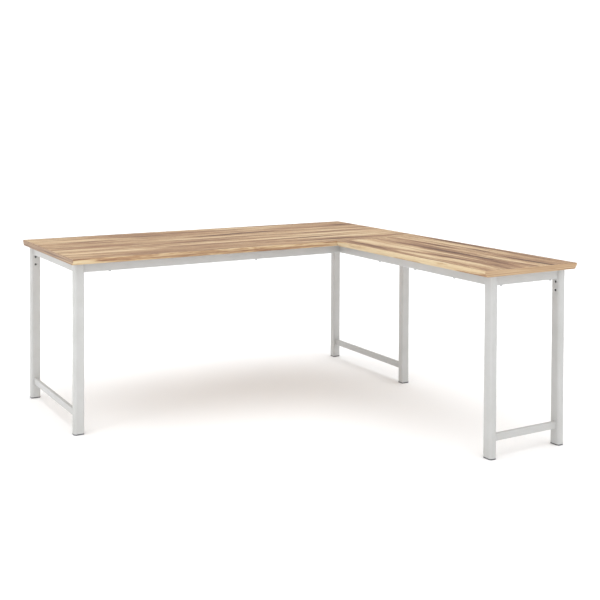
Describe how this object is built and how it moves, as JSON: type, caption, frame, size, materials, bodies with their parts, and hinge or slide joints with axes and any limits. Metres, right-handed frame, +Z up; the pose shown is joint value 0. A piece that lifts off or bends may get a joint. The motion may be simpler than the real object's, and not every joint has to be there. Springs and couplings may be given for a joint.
{
  "type": "corner desk",
  "caption": "L-shaped corner desk: long and short wood-finish tops with bevelled edges on a pale steel tube frame, with low crossbars between the legs.",
  "frame": {"origin": "on the floor, in the middle of the desk's footprint box", "axes": "+Z up; +X along the main top, towards the return; the return top runs forward along -Y from the main top's right-hand end"},
  "size_m": [1.805, 1.81, 0.757],
  "materials": {
    "wood_laminate": "wood-grain laminate, satin",
    "edge_band": "wood-grain edge band, satin",
    "powder_coat": "satin powder coat, light warm grey",
    "cap_plastic": "moulded, matt",
    "zinc_fixings": "zinc plated"
  },
  "bodies": {
    "root": {"main_top": "wood_laminate", "return_top": "wood_laminate", "main_left_edge_band": "edge_band", "main_right_edge_band": "edge_band", "return_end_edge_band": "edge_band", "left_back_leg": "powder_coat", "left_front_leg": "powder_coat", "right_back_leg": "powder_coat", "right_front_leg": "powder_coat", "return_inner_leg": "powder_coat", "return_outer_leg": "powder_coat", "left_back_foot": "cap_plastic", "left_front_foot": "cap_plastic", "right_back_foot": "cap_plastic", "right_front_foot": "cap_plastic", "return_inner_foot": "cap_plastic", "return_outer_foot": "cap_plastic", "left_side_rail": "powder_coat", "right_side_rail": "powder_coat", "return_end_rail": "powder_coat", "left_crossbar": "powder_coat", "right_crossbar": "powder_coat", "return_crossbar": "powder_coat", "main_front_rail": "powder_coat", "main_back_rail": "powder_coat", "return_inner_rail": "powder_coat", "return_outer_rail": "powder_coat", "left_front_tongue": "powder_coat", "left_back_tongue": "powder_coat", "right_front_tongue": "powder_coat", "right_back_tongue": "powder_coat", "return_inner_tongue": "powder_coat", "return_outer_tongue": "powder_coat", "return_inner_bracket": "powder_coat", "return_outer_bracket": "powder_coat", "inner_joining_plate": "powder_coat", "outer_joining_plate": "powder_coat", "front_rail_bolts": "zinc_fixings", "back_rail_bolts": "zinc_fixings", "return_rail_bolts": "zinc_fixings", "return_bracket_bolts": "zinc_fixings", "joining_plate_screws": "zinc_fixings", "main_rail_top_screws": "zinc_fixings", "side_rail_top_screws": "zinc_fixings", "return_rail_top_screws": "zinc_fixings"}
  },
  "joints": []
}
